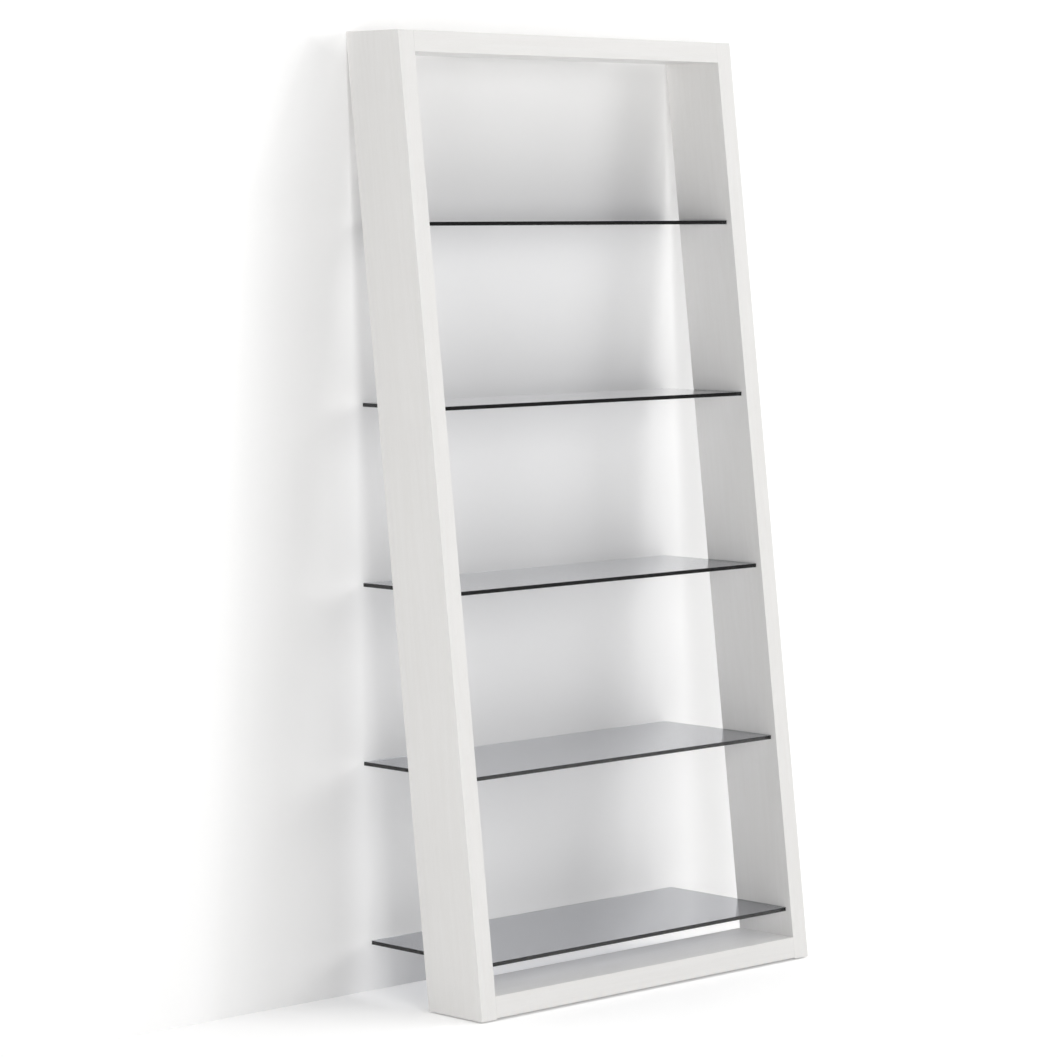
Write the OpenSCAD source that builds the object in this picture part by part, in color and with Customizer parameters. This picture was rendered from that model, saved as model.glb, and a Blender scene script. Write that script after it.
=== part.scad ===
// Leaning bookshelf: a frame of two side panels and two rails that leans
// against a wall, with five tinted glass shelves held in lined grooves.
// Millimetres. The origin is on the floor, in the middle of the footprint.
// +X runs to the right, +Y towards the wall and +Z up.

/* [Frame] */
// Overall width across both side panels
frame_w = 965; // [760:5:1200]
// Overall height above the floor
frame_h = 1956; // [1850:2:2150]
// Lean of the frame away from the vertical, in degrees
lean_deg = 7; // [5:0.25:8]
// Depth of the frame, front face to rear face, measured level
frame_d = 155; // [135:1:200]
// Thickness of each side panel
side_t = 42; // [34:1:55]
// Height of the top and bottom rails
rail_h = 43; // [40:1:60]
// Gap between the floor and the underside of the side panels
floor_gap = 2.5; // [1.5:0.5:4]
// Lift of the bottom rail above the underside of the side panels
rail_lift = 2.5; // [0:0.5:6]

/* [Glass shelves] */
// Height of the lowest shelf's upper face above the floor
first_shelf_z = 110; // [80:1:160]
// Vertical distance from one shelf to the next
shelf_pitch = 366.5; // [330:0.5:400]
// Thickness of the glass
glass_t = 8; // [6:1:12]
// Distance of each shelf's front edge behind the frame's front face
glass_recess = 14.5; // [8:0.5:30]
// How far each shelf's end enters the side panel
glass_bite = 3; // [2:0.5:6]
// Radius of the shelf's corners, seen from above
glass_corner_r = 3; // [1:0.5:10]
// Gap between the upper shelves and the wall
wall_gap = 3; // [1:0.5:10]
// Gap between the lowest shelf and the wall, for a skirting board
skirting_gap = 25; // [5:1:40]

/* [Groove liners] */
// Wall of the liner between glass and wood
liner_t = 1; // [0.6:0.1:2]
// Running gap between the glass and its liner, above and below
glide_gap = 0.2; // [0.1:0.05:0.4]
// Gap between the end of the glass and its liner
end_gap = 0.5; // [0.3:0.1:1.5]

/* [Rail joints] */
// Distance of the dowels from the front and rear faces
dowel_inset = 22; // [16:1:28]
// Diameter of a dowel
dowel_d = 8; // [6:1:10]
// Length of a dowel, half of it on each side of the joint
dowel_l = 34; // [24:1:50]
// Distance of the cam fittings from the front and rear faces
cam_inset = 52; // [42:1:56]
// Diameter of a cam housing
cam_d = 15; // [12:1:16]
// Length of a cam housing
cam_l = 21; // [19:0.5:24]
// Distance of a cam's centre from the end of its rail
cam_reach = 34; // [26:1:44]
// Height of the connecting bolt's axis within the rail, from its hidden face
cam_axis_z = 15; // [12:0.5:16]
// Diameter of the connecting bolt's shank
bolt_d = 7; // [5:0.5:8]
// Diameter of the connecting bolt's threaded end
thread_d = 6; // [4:0.5:7]
// Length of the threaded end in the side panel
thread_l = 12; // [8:1:20]
// Thickness of the covers over the upper cams
cover_t = 1.5; // [1:0.25:2.5]

/* [Levelling feet] */
// Diameter of a foot's pad
pad_d = 28; // [18:1:30]
// Thickness of a foot's pad
pad_t = 5; // [4.5:0.5:8]
// Diameter of a foot's stud
stud_d = 8; // [6:1:10]
// Length of a foot's stud above its pad
stud_l = 28; // [22:1:40]
// Outside diameter of the threaded insert
insert_d = 12; // [11:1:16]
// Length of the threaded insert
insert_l = 20; // [14:1:30]

/* [Wall fixing] */
// Thickness of the clips' sheet metal
clip_t = 1.5; // [1:0.25:2]
// Distance between the two wall screws
wall_hole_spacing = 406; // [300:1:600]
// How far the clips run past each wall screw
clip_end = 22; // [12:1:36]
// Diameter of the wall screw holes
wall_hole_d = 4.5; // [3.5:0.5:6]
// Distance of the rail clip's outer screws from its ends
clip_screw_end = 30; // [12:1:60]
// Diameter of the rail clip's screws
clip_screw_d = 3.5; // [2.5:0.5:4]
// Length of the rail clip's screws in the wood
clip_screw_l = 16; // [10:1:30]
// Height of the rail clip's screwed flange
clip_flange_h = 11; // [9:0.5:12]
// How far the two clips hook over each other
hook_h = 6; // [4:0.5:7]
// Wood left above the pocket for the clips
pocket_roof = 6; // [4:0.5:9]
// Diameter of a wall bumper
bumper_d = 14; // [8:1:20]
// Distance of the bumpers' centres below the top
bumper_drop = 24; // [18:1:40]

/* [Hidden] */
$fn = 48;

// Small clearances that hold whatever the sizes are
snug = 0.05;
seat_gap = 0.5;
over = 1;

// Colours
white_oak = [0.9, 0.895, 0.885];
smoked_glass = [0.3, 0.31, 0.33, 0.75];
clear_white = [0.86, 0.86, 0.86];
beech = [0.78, 0.63, 0.45];
zinc = [0.7, 0.71, 0.73];
steel = [0.62, 0.63, 0.65];
black = [0.1, 0.1, 0.1];

// The leaning frame: level depth, and where its faces lie at a height
slope = tan(lean_deg);
panel_h = frame_h - floor_gap;
total_d = frame_d + panel_h * slope;
wall_y = total_d / 2;
inner_x = frame_w / 2 - side_t;
function front_y(z) = (z - floor_gap) * slope - wall_y;
function rear_y(z) = front_y(z) + frame_d;

// Shelves, counted from 1 at the bottom
shelves = [1:5];
function shelf_z(n) = first_shelf_z + (n - 1) * shelf_pitch;
function glass_front(n) = front_y(shelf_z(n)) + glass_recess;
function glass_rear(n) = wall_y - (n == 1 ? skirting_gap : wall_gap);

// Rails
rail_under = [floor_gap + rail_lift, frame_h - rail_h];
function hidden_face(r) = r == 0 ? rail_under[0] : frame_h;
function into_rail(r) = r == 0 ? 1 : -1;
function joint_z(r) = hidden_face(r) + into_rail(r) * cam_axis_z;
function inset_y(z, inset, rear) = rear ? rear_y(z) - inset : front_y(z) + inset;
rails = [0, 1];
sides = [-1, 1];
ends = [false, true];

// Cam fittings
bolt_gap = 0.4;
bolt_neck_l = 5;
bolt_neck_d = 4;
bolt_head_l = 3;
bolt_head_d = 6.4;
driver_slot = [9, 1.6, 2];

// Feet
pad_recess = pad_t - floor_gap + seat_gap;
stud_socket = 3;
foot_x = (inner_x + frame_w / 2) / 2;
foot_inset = (dowel_inset + cam_inset) / 2;

// Clips: heights run down from the roof of the pocket in the top rail
hook_gap = 0.5;
roof_z = frame_h - pocket_roof;
flange_top = roof_z - seat_gap;
flange_z = flange_top - clip_flange_h;
wall_hook_top = flange_z - clip_t - hook_gap;
wall_hook_z = wall_hook_top - hook_h - hook_gap;
wall_flange_z = rail_under[1] + seat_gap;
wall_hole_z = (wall_flange_z + wall_hook_z - clip_t) / 2;
// Depths run forward from the wall
lip_y = wall_y - clip_t;
wall_hook_y = lip_y - clip_t - hook_gap;
flange_rear_y = wall_hook_y - clip_t - hook_gap;
pocket_y = flange_rear_y - clip_t;
pocket_side_gap = 10;
clip_screw_z = (flange_z + flange_top) / 2;
clip_screw_head_d = clip_screw_d + 3;
clip_screw_head_h = 1.8;
clip_w = wall_hole_spacing + 2 * clip_end;
clip_screw_span = clip_w - 2 * clip_screw_end;
clip_screw_xs = [for (i = [-1.5:1:1.5]) i * clip_screw_span / 3];

// A shape drawn as level depth and height, pulled along X from x0 to x1
module pulled(x0, x1) {
  translate([x0, 0, 0]) rotate([90, 0, 90]) linear_extrude(x1 - x0) children();
}

// A cylinder along X, from x0 to x1
module rod_x(x0, x1, y, z, d) {
  translate([min(x0, x1), y, z]) rotate([0, 90, 0]) cylinder(h = abs(x1 - x0), d = d);
}

// A cylinder along Y, from y0 to y1
module rod_y(x, y0, y1, z, d) {
  translate([x, y1, z]) rotate([90, 0, 0]) cylinder(h = y1 - y0, d = d);
}

// A box between two corners
module block(low, high) {
  translate(low) cube(high - low);
}

// The leaning outline between two heights
module lean_outline(z0, z1) {
  polygon([
    [front_y(z0), z0], [rear_y(z0), z0],
    [rear_y(z1), z1], [front_y(z1), z1]
  ]);
}

// Side panels
module panel_board(side) {
  x0 = side < 0 ? -frame_w / 2 : inner_x;
  pulled(x0, x0 + side_t) lean_outline(floor_gap, frame_h);
}

// The space that a liner fills, which is also the groove in the panel
module groove(n, side, grow = 0) {
  depth = glass_bite + end_gap + liner_t;
  low_z = shelf_z(n) - glass_t - glide_gap - liner_t;
  high_z = shelf_z(n) + glide_gap + liner_t;
  x0 = side < 0 ? -inner_x - depth : inner_x - grow;
  front = glass_front(n) - glide_gap - liner_t;
  block([x0, front, low_z], [x0 + depth + grow, rear_y(high_z) + over, high_z]);
}

module side_panel(side) {
  color(white_oak) difference() {
    panel_board(side);
    for (n = shelves) groove(n, side, over);
    for (r = rails, rear = ends) {
      dowel(r, side, rear, snug);
      rod_x(
        side * (inner_x - over), side * (inner_x + thread_l + seat_gap),
        inset_y(joint_z(r), cam_inset, rear), joint_z(r), thread_d + 2 * snug
      );
    }
    for (rear = ends) foot_bore(side, rear);
  }
}

// Rails
module rail_board(r) {
  pulled(-inner_x, inner_x) lean_outline(rail_under[r], rail_under[r] + rail_h);
}

module rail_drilling(r) {
  for (side = sides, rear = ends) {
    z = joint_z(r);
    dowel(r, side, rear, snug);
    rod_x(
      side * (inner_x + over), side * (inner_x - cam_reach),
      inset_y(z, cam_inset, rear), z, bolt_d + 2 * bolt_gap
    );
    cam_place(r, side, rear) translate([0, 0, -over])
      cylinder(h = cam_l + cover_t + over + snug, d = cam_d + 2 * snug);
  }
}

module top_rail() {
  color(white_oak) difference() {
    rail_board(1);
    rail_drilling(1);
    clip_pocket();
    for (x = clip_screw_xs)
      rod_y(x, pocket_y - clip_screw_l, pocket_y + over, clip_screw_z, clip_screw_d + 2 * snug);
  }
}

module bottom_rail() {
  color(white_oak) difference() {
    rail_board(0);
    rail_drilling(0);
  }
}

// Glass shelves, with round corners
module glass_shelf(n) {
  r = glass_corner_r;
  half_w = inner_x + glass_bite;
  z0 = shelf_z(n) - glass_t;
  y0 = glass_front(n);
  y1 = glass_rear(n);
  color(smoked_glass) union() {
    block([-half_w + r, y0, z0], [half_w - r, y1, z0 + glass_t]);
    block([-half_w, y0 + r, z0], [half_w, y1 - r, z0 + glass_t]);
    for (x = [-half_w + r, half_w - r], y = [y0 + r, y1 - r])
      translate([x, y, z0]) cylinder(h = glass_t, r = r);
  }
}

// Groove liners: a channel round the end of the glass, open to the rear
module shelf_liner(n, side) {
  x_end = inner_x + glass_bite + end_gap;
  color(clear_white) difference() {
    intersection() {
      groove(n, side);
      panel_board(side);
    }
    block(
      [side < 0 ? -x_end : inner_x - over, glass_front(n) - glide_gap, shelf_z(n) - glass_t - glide_gap],
      [side < 0 ? -inner_x + over : x_end, rear_y(frame_h), shelf_z(n) + glide_gap]
    );
  }
}

// Dowels across each joint of panel and rail
module dowel(r, side, rear, gap = 0) {
  z = joint_z(r);
  reach = dowel_l / 2 + (gap > 0 ? seat_gap : 0);
  rod_x(
    side * inner_x - reach, side * inner_x + reach,
    inset_y(z, dowel_inset, rear), z, dowel_d + 2 * gap
  );
}

module dowels() {
  color(beech) for (r = rails, side = sides, rear = ends) dowel(r, side, rear);
}

// Places a cam at its hidden face, with +Z into the rail and +X towards the joint
module cam_place(r, side, rear) {
  y = inset_y(joint_z(r), cam_inset, rear);
  translate([side * (inner_x - cam_reach), y, hidden_face(r)])
    mirror([0, 0, r]) mirror([side < 0 ? 1 : 0, 0, 0]) children();
}

module cam_locks() {
  head_end = bolt_head_l + bolt_gap;
  color(zinc) for (r = rails, side = sides, rear = ends)
    cam_place(r, side, rear) difference() {
      translate([0, 0, cover_t]) cylinder(h = cam_l, d = cam_d);
      rod_x(-head_end, cam_d, 0, cam_axis_z, bolt_d + 2 * bolt_gap);
      for (turn = [0, 90]) rotate([0, 0, turn + 45])
        translate([-driver_slot[0] / 2, -driver_slot[1] / 2, cover_t - over])
          cube([driver_slot[0], driver_slot[1], driver_slot[2] + over]);
    }
}

// Connecting bolts: threaded end, shank, neck and head
module cam_bolts() {
  color(steel) for (r = rails, side = sides, rear = ends)
    cam_place(r, side, rear) {
      rod_x(cam_reach, cam_reach + thread_l, 0, cam_axis_z, thread_d);
      rod_x(bolt_neck_l, cam_reach, 0, cam_axis_z, bolt_d);
      rod_x(0, bolt_neck_l, 0, cam_axis_z, bolt_neck_d);
      rod_x(-bolt_head_l, 0, 0, cam_axis_z, bolt_head_d);
    }
}

// Covers over the cams in the top rail's upper face
module cam_covers() {
  color(white_oak) for (side = sides, rear = ends)
    cam_place(1, side, rear) cylinder(h = cover_t, d = cam_d);
}

// Levelling feet
function foot_y(rear) = rear ? rear_y(floor_gap) - foot_inset : front_y(floor_gap) + foot_inset;

module foot_place(side, rear, z) {
  translate([side * foot_x, foot_y(rear), z]) children();
}

// The recess for the pad, the hole for the insert and the hole for the stud
module foot_bore(side, rear) {
  foot_place(side, rear, floor_gap - over) {
    cylinder(h = pad_recess + over, d = pad_d + 4 * seat_gap);
    cylinder(h = pad_recess + insert_l + over, d = insert_d + 2 * snug);
    cylinder(h = pad_recess + stud_l + over, d = stud_d + 2 * seat_gap);
  }
}

module foot_inserts() {
  color(zinc) for (side = sides, rear = ends)
    foot_place(side, rear, floor_gap + pad_recess) difference() {
      cylinder(h = insert_l, d = insert_d);
      translate([0, 0, -over]) cylinder(h = insert_l + 2 * over, d = stud_d + 2 * snug);
    }
}

module foot_stud(side, rear) {
  color(steel) foot_place(side, rear, pad_t - stud_socket)
    cylinder(h = stud_socket + stud_l, d = stud_d);
}

module foot_pad(side, rear) {
  ease = 1.2;
  r = pad_d / 2;
  color(black) foot_place(side, rear, 0) difference() {
    rotate_extrude() polygon([
      [0, 0], [r - ease, 0], [r, ease], [r, pad_t - ease], [r - ease, pad_t], [0, pad_t]
    ]);
    translate([0, 0, pad_t - stud_socket]) cylinder(h = stud_socket + over, d = stud_d + 2 * snug);
  }
}

// Wall fixing: the rail clip's lip drops behind the wall clip's hook
module clip_pocket() {
  half_w = clip_w / 2 + pocket_side_gap;
  block([-half_w, pocket_y, rail_under[1] - over], [half_w, wall_y + over, roof_z]);
}

module rail_clip() {
  lip_z = flange_z - clip_t - hook_h;
  color(steel) difference() {
    pulled(-clip_w / 2, clip_w / 2) polygon([
      [pocket_y, flange_top], [pocket_y, flange_z - clip_t],
      [lip_y - clip_t, flange_z - clip_t], [lip_y - clip_t, lip_z], [lip_y, lip_z],
      [lip_y, flange_z], [flange_rear_y, flange_z], [flange_rear_y, flange_top]
    ]);
    for (x = clip_screw_xs)
      rod_y(x, pocket_y - over, flange_rear_y + over, clip_screw_z, clip_screw_d + 2 * snug);
  }
}

module rail_clip_screws() {
  color(zinc) for (x = clip_screw_xs) {
    rod_y(x, pocket_y - clip_screw_l + seat_gap, flange_rear_y, clip_screw_z, clip_screw_d);
    rod_y(
      x, flange_rear_y, flange_rear_y + clip_screw_head_h,
      clip_screw_z, clip_screw_head_d
    );
  }
}

module wall_clip() {
  color(steel) difference() {
    pulled(-clip_w / 2, clip_w / 2) polygon([
      [wall_y, wall_flange_z], [wall_y, wall_hook_z], [wall_hook_y, wall_hook_z],
      [wall_hook_y, wall_hook_top], [wall_hook_y - clip_t, wall_hook_top],
      [wall_hook_y - clip_t, wall_hook_z - clip_t], [lip_y, wall_hook_z - clip_t],
      [lip_y, wall_flange_z]
    ]);
    for (x = [-wall_hole_spacing / 2, wall_hole_spacing / 2])
      rod_y(x, lip_y - over, wall_y + over, wall_hole_z, wall_hole_d);
  }
}

// Bumpers that fill the wedge between the panels and the wall
module wall_bumpers() {
  color(clear_white) for (side = sides) difference() {
    rod_y(
      side * foot_x, rear_y(frame_h - 2 * bumper_drop), wall_y,
      frame_h - bumper_drop, bumper_d
    );
    panel_board(side);
  }
}

side_panel(-1);  // left_side_panel
side_panel(1);  // right_side_panel
top_rail();
bottom_rail();
for (n = shelves) {
  glass_shelf(n);
  shelf_liner(n, -1);
  shelf_liner(n, 1);
}
dowels();
cam_bolts();
cam_locks();
cam_covers();
foot_inserts();
foot_stud(-1, false);  // front_left_stud
foot_stud(1, false);  // front_right_stud
foot_stud(-1, true);  // rear_left_stud
foot_stud(1, true);  // rear_right_stud
foot_pad(-1, false);  // front_left_foot
foot_pad(1, false);  // front_right_foot
foot_pad(-1, true);  // rear_left_foot
foot_pad(1, true);  // rear_right_foot
rail_clip();
rail_clip_screws();
wall_clip();
wall_bumpers();
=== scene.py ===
"""Leaning bookshelf: finishes, room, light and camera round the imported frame.

Lengths are in metres, in the frame's own axes: X to the right, Y to the wall, Z up.
"""

import math

import bpy
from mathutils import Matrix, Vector


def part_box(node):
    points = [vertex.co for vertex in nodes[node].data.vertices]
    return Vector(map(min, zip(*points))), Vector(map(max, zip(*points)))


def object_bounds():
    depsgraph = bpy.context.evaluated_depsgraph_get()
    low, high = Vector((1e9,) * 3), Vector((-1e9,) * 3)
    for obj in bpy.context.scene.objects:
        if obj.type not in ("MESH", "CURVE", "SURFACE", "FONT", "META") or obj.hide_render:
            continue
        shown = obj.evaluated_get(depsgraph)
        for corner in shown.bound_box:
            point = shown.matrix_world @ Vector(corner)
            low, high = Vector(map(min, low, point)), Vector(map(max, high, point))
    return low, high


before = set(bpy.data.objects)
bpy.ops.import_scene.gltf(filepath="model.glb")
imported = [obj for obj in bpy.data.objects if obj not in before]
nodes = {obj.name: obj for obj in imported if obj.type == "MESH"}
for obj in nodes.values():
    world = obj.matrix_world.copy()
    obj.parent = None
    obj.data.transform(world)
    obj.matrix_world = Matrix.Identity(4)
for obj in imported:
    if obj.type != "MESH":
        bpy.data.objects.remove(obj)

cad_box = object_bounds()

# Sizes and names taken from the frame, and its lean
WALL_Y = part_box("wall_clip")[1].y
HALF_WIDTH = cad_box[1].x
TOP = cad_box[1].z
LEAN = math.radians(7)
SHELVES = [name for name in nodes if name.startswith("glass_shelf")]
PANELS = ["left_side_panel", "right_side_panel"]
RAILS = ["top_rail", "bottom_rail"]
FEET = [name for name in nodes if name.endswith("_foot")]

# Softened edges: width and number of segments
WOOD_EDGE = (0.0008, 2)
GLASS_EDGE = (0.0007, 2)
FOOT_EDGE = (0.0006, 2)
# Edges sharper than SHARP_ANGLE are rounded. Before that, corners within WELD_DISTANCE are
# joined and faces within FLAT_ANGLE of one plane are merged.
SHARP_ANGLE = math.radians(30)
WELD_DISTANCE = 1e-6
FLAT_ANGLE = math.radians(0.5)

# Patterns of noise: a mark's size along each axis, its detail and its roughness
OAK_STREAKS = ((0.008, 0.008, 0.22), 5.0, 0.65)
OAK_BANDS = ((0.06, 0.06, 0.8), 1.0, 0.4)
OAK_PORES = ((0.0007, 0.0007, 0.018), 2.0, 0.6)
GLASS_WIPES = ((0.12, 0.05, 0.05), 3.0, 0.6)
MOULD_MARKS = ((0.0006,) * 3, 3.0, 0.6)
MOULD_PATCHES = ((0.03,) * 3, 2.0, 0.5)
CAST_MARKS = ((0.0012,) * 3, 4.0, 0.6)
PLATED_MARKS = ((0.004, 0.0005, 0.0005), 4.0, 0.6)
METAL_STAINS = ((0.012,) * 3, 3.0, 0.6)
BEECH_FIBRES = ((0.02, 0.0008, 0.0008), 3.0, 0.6)
BEECH_FLECKS = ((0.003, 0.0005, 0.0005), 1.0, 0.5)
RUBBER_CLOUDS = ((0.004,) * 3, 3.0, 0.5)

# The values of a noise that become 0 and 1
NOISE_RANGE = (0.3, 0.7)
PORE_RANGE = (0.58, 0.70)
WIPE_RANGE = (0.35, 0.75)
FLECK_RANGE = (0.60, 0.66)

# Colours: dark and light, or one
OAK_LACQUER = ((0.765, 0.756, 0.741, 1), (0.792, 0.785, 0.773, 1))
OAK_PORE = (0.68, 0.665, 0.64, 1)
LINER_WHITE = ((0.66, 0.66, 0.65, 1), (0.72, 0.72, 0.71, 1))
NYLON_BLACK = ((0.016, 0.016, 0.017, 1), (0.026, 0.026, 0.027, 1))
ZINC_GREY = ((0.36, 0.37, 0.38, 1), (0.52, 0.53, 0.54, 1))
STEEL_GREY = ((0.52, 0.52, 0.50, 1), (0.66, 0.66, 0.64, 1))
BEECH_WOOD = ((0.46, 0.29, 0.17, 1), (0.68, 0.48, 0.31, 1))
BEECH_FLECK = (0.30, 0.17, 0.09, 1)
RUBBER_CLEAR = ((0.80, 0.81, 0.80, 1), (0.92, 0.93, 0.92, 1))
WHITE = (1, 1, 1, 1)

# Roughness: from and to, or one
OAK_GLOSS = (0.40, 0.50)
GLASS_GLOSS = (0.0, 0.02)
RUBBER_GLOSS = (0.18, 0.32)
BEECH_ROUGHNESS = 0.6
# A plastic's roughness varies by this much to either side, a metal's between these multiples
MOULD_SWING = 0.05
METAL_SWING = (0.8, 1.2)

# Relief: depth and strength, or the strength alone
OAK_RELIEF = (0.00012, 0.6)
MOULD_RELIEF = (0.00002, 0.5)
BEECH_RELIEF = (0.0001, 0.5)
METAL_STRENGTH = 0.4

# Oak: radians of the rings' sine over the bands' noise, shares of streaks and rings in the
# grain, how much of a pore's colour shows, and the streaks' share in the relief
OAK_RINGS = 50.0
STREAK_SHARE, RING_SHARE = 0.65, 0.35
PORE_SHOWS = 0.3
STREAK_RELIEF = 0.2
# Beech: how much of a fleck's colour shows
FLECK_SHOWS = 0.5

# Glass: colours of its surface, of its shadow and of its body, and how fast the body darkens
GLASS_SURFACE = (0.97, 0.98, 1.0, 1)
GLASS_SHADOW = (1.0, 0.994, 0.971, 1)
GLASS_BODY = (0.42, 0.43, 0.47, 1)
GLASS_DENSITY = 146.0
# Glass and clear rubber refract alike; the rubber lets this share of light in
CLEAR_IOR = 1.5
RUBBER_CLARITY = 0.7

# Room: its half width and height, and how far its wall and floor stay clear of the frame
ROOM_HALF = 9.0
ROOM_HEIGHT = 7.0
STAGE_GAP = 0.0004
ROOM_WHITE = (0.862, 0.86, 0.857, 1)
# Each stage finish glows by ray: as light on the object, then in the camera's view, through
# glass and in mirrors, on top of the light that falls on it
WALL_GLOW = (0.08, 0.0, 0.16, 0.16)
FLOOR_GLOW = (0.0, 0.22, 0.28, 0.45)
# The sky's level as light, in view or through glass, and in mirrors
SKY_LEVEL = 0.04
SKY_SEEN = 1.0
SKY_MIRRORED = 0.35
# Behind the wall the floor gives no light and only shows. Far off, where the lamps fade, the
# room turns white, and its glow in mirrors turns FAR_MIRRORED.
BEHIND_GLOW = (0.0, 1.0, 1.0, 0.5)
FAR_FROM, FAR_TO = 2.6, 4.5
FAR_MIRRORED = 0.3
# A surface nearer to the wall than NEAR_WALL gets up to this much more light from it. The wall
# below that height gives none, or the floor would show a bright line along it.
NEAR_WALL = 0.06
NEAR_LIFT = 0.42
# Painted shade on the wall beside the frame: the wall's glow in view grows with the distance
# from the frame, so it is darker near it. Its width at the floor, how fast that shrinks with
# height and near the top, and the level and curve by which the wall gets whiter across it. It
# fades out over the top SHADE_CAP of the frame's height.
SHADE_WIDTH = 0.40
SHADE_TAPER = 0.07
SHADE_TOP = 2.15
SHADE_TOP_TAPER = 0.55
SHADE_LEAST = 0.1
SHADE_CAP = 0.07
SHADE_LIFT = 0.17
SHADE_CURVE = 1.6
# Left of the frame a painted shadow darkens the wall's colour by this share of its white and
# lowers the floor's glow by this much. It starts SIDE_FROM out from the frame's side, is full
# at SIDE_FULL and ends at SHADE_WIDTH. On the floor it ends at CORNER_DEPTH from the wall.
SIDE_SHADE = 0.13
CORNER_SHADE = 0.15
CORNER_DEPTH = 0.22
SIDE_FROM, SIDE_FULL = -0.035, 0.04
# Painted light on the wall behind each panel, where it is lighter: the patch's middle across
# the wall and its reach to either side, and the heights from which and by which it fades
PANEL_LIFT = 0.11
PANEL_PLACES = ((-0.38, 0.11), (0.60, 0.25))
PANEL_FROM, PANEL_TO = 1.35, 1.75

# Lamps: name, place, side length, power in watts; all face LAMP_AIM
LAMP_AIM = (0, 0, 1.0)
LAMPS = [
    ("key_right", (3.4, -4.2, 3.2), 3.0, 36),
    ("front_right", (4.6, -4.2, 2.4), 2.0, 66),
    ("high_right", (4.8, -1.2, 4.2), 3.0, 68),
    ("side_right", (5.6, -1.5, 1.4), 2.0, 36),
    ("overhead", (0.0, -1.2, 6.4), 3.0, 130),
    ("front_left", (-3.0, -5.0, 2.4), 2.5, 42),
    ("low_front", (-2.4, -5.2, 1.0), 1.6, 70),
    ("low_left", (-5.2, -2.4, 0.9), 1.6, 46),
]

# Camera, fitted to the photograph
CAMERA_PLACE = (-5.6383, -5.6206, 1.6138)
CAMERA_YAW = math.radians(44.26)
CAMERA_PITCH = math.radians(4.377)
CAMERA_LENS = 130.94
CAMERA_SHIFT = -0.03
CAMERA_REACH = 60
SENSOR = 36

# A Mix node's colour inputs and output, which share their names with its other sockets
MIX_DARK, MIX_LIGHT, MIX_RESULT = 6, 7, 2


# Node helpers
def blank(name):
    """A new node material and its empty tree."""
    material = bpy.data.materials.new(name)
    material.use_nodes = True
    material.node_tree.nodes.clear()
    return material, material.node_tree


def feed(tree, socket, value):
    """Sets one input to a plain value, or links an output socket to it."""
    if isinstance(value, bpy.types.NodeSocket):
        tree.links.new(value, socket)
    else:
        socket.default_value = value


def add(tree, kind, settings=None, **inputs):
    """A new shader node with these settings and named inputs."""
    made = tree.nodes.new("ShaderNode" + kind)
    for name, value in (settings or {}).items():
        setattr(made, name, value)
    for name, value in inputs.items():
        feed(tree, made.inputs[name.replace("_", " ")], value)
    return made


def in_order(tree, kind, *values, **settings):
    """The first output of a new shader node whose inputs are values, in their order."""
    made = add(tree, kind, settings)
    for socket, value in zip(made.inputs, values):
        feed(tree, socket, value)
    return made.outputs[0]


def calc(tree, operation, first, second=0.0):
    """A Math node's result."""
    return in_order(tree, "Math", first, second, operation=operation)


def spread(tree, value, low, high, to_low=0.0, to_high=1.0, way="LINEAR"):
    """value from low..high mapped to to_low..to_high, and kept inside."""
    made = add(tree, "MapRange", {"clamp": True, "interpolation_type": way}, Value=value,
               From_Min=low, From_Max=high, To_Min=to_low, To_Max=to_high)
    return made.outputs["Result"]


def tint(tree, factor, dark, light):
    """A colour between dark and light."""
    made = add(tree, "Mix", {"data_type": "RGBA"}, Factor=factor)
    feed(tree, made.inputs[MIX_DARK], dark)
    feed(tree, made.inputs[MIX_LIGHT], light)
    return made.outputs[MIX_RESULT]


def pattern(tree, marks, rotation=(0, 0, 0)):
    """Noise from 0 to 1 in object coordinates turned by rotation, with marks of one kind."""
    cell, detail, roughness = marks
    place = add(tree, "TexCoord").outputs["Object"]
    scaled = add(tree, "Mapping", {"vector_type": "TEXTURE"}, Vector=place, Rotation=rotation,
                 Scale=cell)
    made = add(tree, "TexNoise", Vector=scaled.outputs["Vector"], Scale=1.0, Detail=detail,
               Roughness=roughness)
    return made.outputs["Fac"]


def bumped(tree, height, depth, strength):
    """A normal from a height of 0 to 1, depth metres deep."""
    return add(tree, "Bump", Height=height, Distance=depth, Strength=strength).outputs["Normal"]


def finished(tree, surface, volume=None):
    """Joins the shader to the material's output."""
    out = add(tree, "OutputMaterial", Surface=surface)
    if volume is not None:
        feed(tree, out.inputs["Volume"], volume)


# Finishes
def white_oak(name, rotation):
    """White lacquer over oak veneer: open pores, fine streaks and wide growth bands.

    The grain runs along local Z, turned by rotation.
    """
    material, tree = blank(name)
    streaks = spread(tree, pattern(tree, OAK_STREAKS, rotation), *NOISE_RANGE)
    bands = pattern(tree, OAK_BANDS, rotation)
    rings = calc(tree, "SINE", calc(tree, "MULTIPLY", bands, OAK_RINGS))
    rings = spread(tree, rings, -1.0, 1.0)
    pores = spread(tree, pattern(tree, OAK_PORES, rotation), *PORE_RANGE)
    grain = calc(tree, "ADD", calc(tree, "MULTIPLY", streaks, STREAK_SHARE),
                 calc(tree, "MULTIPLY", rings, RING_SHARE))
    lacquer = tint(tree, grain, *OAK_LACQUER)
    colour = tint(tree, calc(tree, "MULTIPLY", pores, PORE_SHOWS), lacquer, OAK_PORE)
    relief = calc(tree, "SUBTRACT", calc(tree, "MULTIPLY", streaks, STREAK_RELIEF), pores)
    shader = add(tree, "BsdfPrincipled", Base_Color=colour,
                 Roughness=spread(tree, streaks, 0.0, 1.0, *OAK_GLOSS),
                 Normal=bumped(tree, relief, *OAK_RELIEF))
    finished(tree, shader.outputs[0])
    return material


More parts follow.
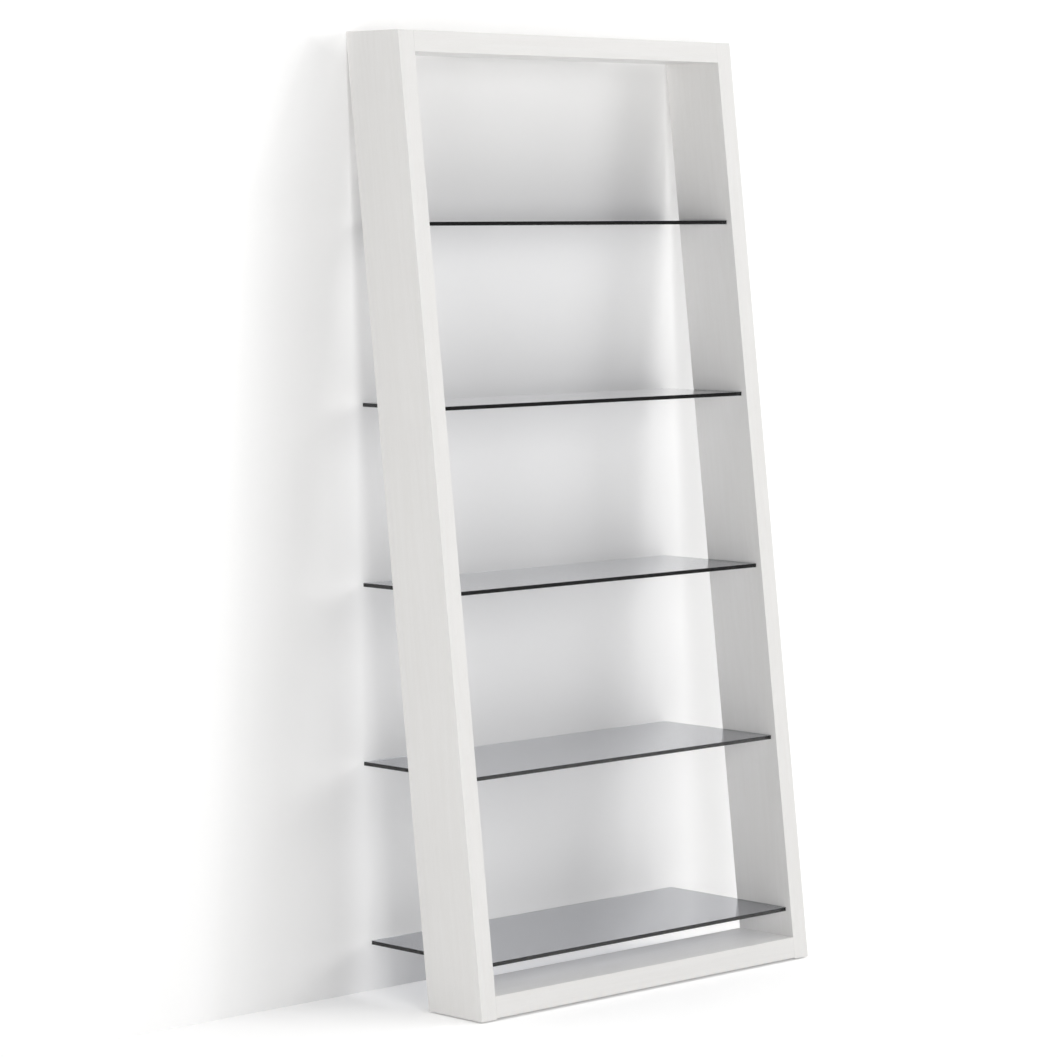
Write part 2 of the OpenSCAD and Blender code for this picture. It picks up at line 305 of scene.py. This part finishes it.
def tinted_glass(name):
    """Grey float glass: dark through its length and at its edges, with faint wipe marks.

    On shadow rays its surface is clear.
    """
    material, tree = blank(name)
    gloss = spread(tree, pattern(tree, GLASS_WIPES), *WIPE_RANGE, *GLASS_GLOSS)
    glass = add(tree, "BsdfPrincipled", Base_Color=GLASS_SURFACE, Roughness=gloss,
                IOR=CLEAR_IOR, Transmission_Weight=1.0)
    clear = add(tree, "BsdfTransparent", Color=GLASS_SHADOW)
    in_shadow = add(tree, "LightPath").outputs["Is Shadow Ray"]
    surface = in_order(tree, "MixShader", in_shadow, glass.outputs[0], clear.outputs[0])
    body = add(tree, "VolumeAbsorption", Color=GLASS_BODY, Density=GLASS_DENSITY)
    finished(tree, surface, body.outputs[0])
    return material


def moulded(name, colours, roughness):
    """Moulded plastic with a fine spark-eroded surface."""
    material, tree = blank(name)
    patches = pattern(tree, MOULD_PATCHES)
    rough = spread(tree, patches, *NOISE_RANGE, roughness - MOULD_SWING, roughness + MOULD_SWING)
    shader = add(tree, "BsdfPrincipled", Base_Color=tint(tree, patches, *colours),
                 Roughness=rough,
                 Normal=bumped(tree, pattern(tree, MOULD_MARKS), *MOULD_RELIEF))
    finished(tree, shader.outputs[0])
    return material


def metal(name, colours, roughness, marks, depth):
    """Bare or plated metal, with marks that are depth metres deep."""
    material, tree = blank(name)
    relief = pattern(tree, marks)
    low, high = (roughness * share for share in METAL_SWING)
    shader = add(tree, "BsdfPrincipled", Metallic=1.0,
                 Base_Color=tint(tree, pattern(tree, METAL_STAINS), *colours),
                 Roughness=spread(tree, relief, *NOISE_RANGE, low, high),
                 Normal=bumped(tree, relief, depth, METAL_STRENGTH))
    finished(tree, shader.outputs[0])
    return material


def beech(name):
    """Compressed beech dowels: pinkish wood with short dark flecks."""
    material, tree = blank(name)
    fibres = pattern(tree, BEECH_FIBRES)
    flecks = spread(tree, pattern(tree, BEECH_FLECKS), *FLECK_RANGE)
    wood = tint(tree, fibres, *BEECH_WOOD)
    colour = tint(tree, calc(tree, "MULTIPLY", flecks, FLECK_SHOWS), wood, BEECH_FLECK)
    shader = add(tree, "BsdfPrincipled", Base_Color=colour, Roughness=BEECH_ROUGHNESS,
                 Normal=bumped(tree, fibres, *BEECH_RELIEF))
    finished(tree, shader.outputs[0])
    return material


def soft_clear(name):
    """Clear polyurethane of the wall bumpers, slightly cloudy."""
    material, tree = blank(name)
    clouds = pattern(tree, RUBBER_CLOUDS)
    shader = add(tree, "BsdfPrincipled", Base_Color=tint(tree, clouds, *RUBBER_CLEAR),
                 Roughness=spread(tree, clouds, *NOISE_RANGE, *RUBBER_GLOSS),
                 IOR=CLEAR_IOR, Transmission_Weight=RUBBER_CLARITY)
    finished(tree, shader.outputs[0])
    return material


finishes = {
    "white_oak": white_oak("oak_along_rails", (0, math.radians(90), 0)),
    "tinted_glass": tinted_glass("grey_glass"),
    "white_liner": moulded("white_liner_plastic", LINER_WHITE, roughness=0.45),
    "beech": beech("beech_dowel"),
    "zinc_casting": metal("zinc_casting_metal", ZINC_GREY, roughness=0.42, marks=CAST_MARKS,
                          depth=0.00004),
    "plated_steel": metal("plated_steel_metal", STEEL_GREY, roughness=0.28, marks=PLATED_MARKS,
                          depth=0.00001),
    "black_plastic": moulded("black_nylon", NYLON_BLACK, roughness=0.5),
    "clear_rubber": soft_clear("clear_polyurethane"),
}
side_oak = white_oak("oak_along_sides", (-LEAN, 0, 0))

for piece in nodes.values():
    for place in piece.material_slots:
        place.material = finishes[place.material.name.split(".")[0]]
for name in PANELS:
    for place in nodes[name].material_slots:
        place.material = side_oak


# Softened edges
def joined_corners():
    """Geometry nodes that join a CAD mesh's split corners and shade it smooth to SHARP_ANGLE."""
    group = bpy.data.node_groups.new("joined_corners", "GeometryNodeTree")
    for way in ("INPUT", "OUTPUT"):
        group.interface.new_socket("Geometry", in_out=way, socket_type="NodeSocketGeometry")
    start = group.nodes.new("NodeGroupInput")
    merge = group.nodes.new("GeometryNodeMergeByDistance")
    merge.inputs["Distance"].default_value = WELD_DISTANCE
    forget = group.nodes.new("GeometryNodeRemoveAttribute")
    forget.inputs["Name"].default_value = "custom_normal"
    angle = group.nodes.new("GeometryNodeInputMeshEdgeAngle")
    sharp = group.nodes.new("FunctionNodeCompare")
    sharp.operation = "GREATER_THAN"
    sharp.inputs["B"].default_value = SHARP_ANGLE
    crease = group.nodes.new("GeometryNodeSetShadeSmooth")
    crease.domain = "EDGE"
    crease.inputs["Shade Smooth"].default_value = False
    end = group.nodes.new("NodeGroupOutput")
    link = group.links.new
    link(angle.outputs["Unsigned Angle"], sharp.inputs["A"])
    link(sharp.outputs["Result"], crease.inputs["Selection"])
    for first, second in zip((start, merge, forget, crease), (merge, forget, crease, end)):
        link(first.outputs[0], second.inputs[0])
    return group


def soften(piece, width, segments):
    """Rounds a CAD node's sharp edges with modifiers, inside its own box."""
    joined = piece.modifiers.new("joined", "NODES")
    joined.node_group = corner_join
    flats = piece.modifiers.new("flats", "DECIMATE")
    flats.decimate_type = "DISSOLVE"
    flats.angle_limit = FLAT_ANGLE
    bevel = piece.modifiers.new("edges", "BEVEL")
    bevel.width = width
    bevel.segments = segments
    bevel.limit_method = "ANGLE"
    bevel.angle_limit = SHARP_ANGLE
    bevel.use_clamp_overlap = False
    bevel.harden_normals = True


corner_join = joined_corners()

for names, edge in ((PANELS + RAILS, WOOD_EDGE), (SHELVES, GLASS_EDGE), (FEET, FOOT_EDGE)):
    for name in names:
        soften(nodes[name], *edge)


# Room
def past_shade(tree, across, height):
    """How far a point of the wall is out of the frame's painted shade, from 0 to 1."""
    aside = calc(tree, "SUBTRACT", calc(tree, "ABSOLUTE", across), HALF_WIDTH)
    low = calc(tree, "SUBTRACT", SHADE_WIDTH, calc(tree, "MULTIPLY", height, SHADE_TAPER))
    high = calc(tree, "MULTIPLY", calc(tree, "SUBTRACT", SHADE_TOP, height), SHADE_TOP_TAPER)
    width = calc(tree, "MINIMUM", low, calc(tree, "MAXIMUM", high, SHADE_LEAST))
    share = spread(tree, calc(tree, "DIVIDE", aside, width), 0.0, 1.0)
    share = calc(tree, "MAXIMUM", share, spread(tree, height, TOP - SHADE_CAP, TOP))
    return calc(tree, "POWER", share, SHADE_CURVE)


def beside(tree, across):
    """1 in the deep painted shade left of the frame,
    0 behind the frame, far out and to the right.
    """
    out = calc(tree, "SUBTRACT", -HALF_WIDTH, across)
    start = spread(tree, out, SIDE_FROM, SIDE_FULL, way="SMOOTHSTEP")
    end = spread(tree, out, SIDE_FULL, SHADE_WIDTH, 1.0, 0.0, "SMOOTHSTEP")
    return calc(tree, "MULTIPLY", start, end)


def painted_wall_light_and_shade(tree, across, height, far):
    """The wall's extra glow in view, and its colour.

    The glow carries the painted shade beside the frame and the painted light behind the panels;
    the colour carries the painted shadow left of the frame.
    """
    # Painted shade: the wall glows more in view away from the frame, so it looks darker beside
    # it
    lift = calc(tree, "MULTIPLY", past_shade(tree, across, height), SHADE_LIFT)
    white = calc(tree, "ADD", far, lift)
    # Painted light: lighter patches of the wall behind the panels, fading from PANEL_FROM to
    # PANEL_TO
    patch = spread(tree, height, PANEL_FROM, PANEL_TO, PANEL_LIFT, 0.0)
    for middle, reach in PANEL_PLACES:
        off = calc(tree, "ABSOLUTE", calc(tree, "SUBTRACT", across, middle))
        behind = spread(tree, off, 0.0, reach, 1.0, 0.0, "SMOOTHSTEP")
        white = calc(tree, "ADD", white, calc(tree, "MULTIPLY", behind, patch))
    # Painted shadow left of the frame: the wall's colour darkens there, less with height
    fade = spread(tree, height, 0.0, TOP, 1.0, 0.0)
    shade = calc(tree, "MULTIPLY", beside(tree, across), fade)
    shaded = [channel * (1 - SIDE_SHADE) for channel in ROOM_WHITE[:3]] + [1]
    return white, tint(tree, shade, ROOM_WHITE, shaded)


def near_light(tree, distance, height):
    """The extra light of the wall on a surface at this distance, by height on the wall."""
    near = spread(tree, distance, 0.0, NEAR_WALL, NEAR_LIFT, 0.0)
    return calc(tree, "MULTIPLY", near, calc(tree, "GREATER_THAN", height, NEAR_WALL))


def corner_shade(tree, across, back):
    """How much less the floor glows in view: a painted shade in its corner with the wall."""
    depth = calc(tree, "SUBTRACT", WALL_Y, back)
    depth = spread(tree, depth, 0.0, CORNER_DEPTH, 1.0, 0.0, "SMOOTHSTEP")
    corner = calc(tree, "MULTIPLY", beside(tree, across), depth)
    return calc(tree, "MULTIPLY", corner, CORNER_SHADE)


def room_finish(name, glows, part=None):
    """Matt white that is seen only from its front, glows a little and is white far off.

    glows has its glow on diffuse, camera, transmission and glossy rays. part, wall or floor,
    adds the frame's painted shade there, and on the wall painted light behind the panels.
    """
    lighting, in_view, through, mirrored = glows
    material, tree = blank(name)
    surface = add(tree, "NewGeometry").outputs
    spot = add(tree, "SeparateXYZ", Vector=surface["Position"]).outputs
    away = add(tree, "VectorMath", {"operation": "LENGTH"}, Vector=surface["Position"])
    away = away.outputs["Value"]
    far = spread(tree, away, FAR_FROM, FAR_TO)
    in_mirror = spread(tree, away, FAR_FROM, FAR_TO, mirrored, FAR_MIRRORED)
    rays = add(tree, "LightPath").outputs
    white, near, colour = far, 0.0, ROOM_WHITE
    if part == "wall":
        white, colour = painted_wall_light_and_shade(tree, spot["X"], spot["Z"], far)
        near = near_light(tree, rays["Ray Length"], spot["Z"])
    elif part == "floor":
        # Painted shade in the floor's corner with the wall, left of the frame
        in_view = calc(tree, "SUBTRACT", in_view, corner_shade(tree, spot["X"], spot["Y"]))
    strength = 0.0
    for ray, glow, extra in (("Is Diffuse Ray", lighting, near),
                             ("Is Camera Ray", in_view, white),
                             ("Is Transmission Ray", through, white),
                             ("Is Glossy Ray", in_mirror, 0.0)):
        lit = calc(tree, "MULTIPLY", rays[ray], calc(tree, "ADD", glow, extra))
        strength = calc(tree, "MAXIMUM", lit, strength)
    matt = add(tree, "BsdfDiffuse", Color=colour)
    shine = add(tree, "Emission", Color=WHITE, Strength=strength)
    front = in_order(tree, "AddShader", matt.outputs[0], shine.outputs[0])
    clear = add(tree, "BsdfTransparent").outputs[0]
    finished(tree, in_order(tree, "MixShader", surface["Backfacing"], front, clear))
    material.cycles.emission_sampling = "NONE"
    return material


def plane(name, corners, material):
    """A flat stage piece that faces as its corners turn."""
    mesh = bpy.data.meshes.new(name)
    mesh.from_pydata(corners, [], [tuple(range(len(corners)))])
    mesh.materials.append(material)
    made = bpy.data.objects.new(name, mesh)
    bpy.context.scene.collection.objects.link(made)


wall_y = WALL_Y + STAGE_GAP
floor_z = -STAGE_GAP
plane("wall", [(-ROOM_HALF, wall_y, floor_z), (ROOM_HALF, wall_y, floor_z),
               (ROOM_HALF, wall_y, ROOM_HEIGHT), (-ROOM_HALF, wall_y, ROOM_HEIGHT)],
      room_finish("wall_white", WALL_GLOW, "wall"))
plane("floor", [(-ROOM_HALF, -ROOM_HALF, floor_z), (ROOM_HALF, -ROOM_HALF, floor_z),
                (ROOM_HALF, wall_y, floor_z), (-ROOM_HALF, wall_y, floor_z)],
      room_finish("floor_white", FLOOR_GLOW, "floor"))
plane("floor_behind", [(-ROOM_HALF, wall_y, floor_z), (ROOM_HALF, wall_y, floor_z),
                       (ROOM_HALF, ROOM_HALF, floor_z), (-ROOM_HALF, ROOM_HALF, floor_z)],
      room_finish("behind_white", BEHIND_GLOW))

# Light
world = bpy.data.worlds.new("studio")
bpy.context.scene.world = world
world.use_nodes = True
sky = world.node_tree
sky.nodes.clear()
sky_rays = add(sky, "LightPath").outputs
seen = calc(sky, "MAXIMUM", sky_rays["Is Camera Ray"], sky_rays["Is Transmission Ray"])
sky_seen = spread(sky, seen, 0.0, 1.0, SKY_LEVEL, SKY_SEEN)
sky_mirrored = calc(sky, "MULTIPLY", sky_rays["Is Glossy Ray"], SKY_MIRRORED)
backdrop = add(sky, "Background", Color=WHITE,
               Strength=calc(sky, "MAXIMUM", sky_seen, sky_mirrored))
add(sky, "OutputWorld", Surface=backdrop.outputs[0])


def softbox(name, place, side, power):
    """A square lamp at place that faces LAMP_AIM."""
    lamp = bpy.data.lights.new(name, "AREA")
    lamp.size = side
    lamp.energy = power
    made = bpy.data.objects.new(name, lamp)
    made.location = place
    made.rotation_euler = (Vector(LAMP_AIM) - Vector(place)).to_track_quat("-Z", "Y").to_euler()
    made.visible_camera = False
    made.visible_glossy = False
    bpy.context.scene.collection.objects.link(made)


for lamp in LAMPS:
    softbox(*lamp)

# Camera
lens = bpy.data.cameras.new("camera")
lens.sensor_width = SENSOR
lens.lens = CAMERA_LENS
lens.shift_y = CAMERA_SHIFT
lens.clip_end = CAMERA_REACH
camera = bpy.data.objects.new("camera", lens)
camera.location = CAMERA_PLACE
camera.rotation_euler = (math.radians(90) - CAMERA_PITCH, 0, -CAMERA_YAW)
bpy.context.scene.collection.objects.link(camera)
bpy.context.scene.camera = camera
bpy.context.scene.view_settings.view_transform = "Standard"
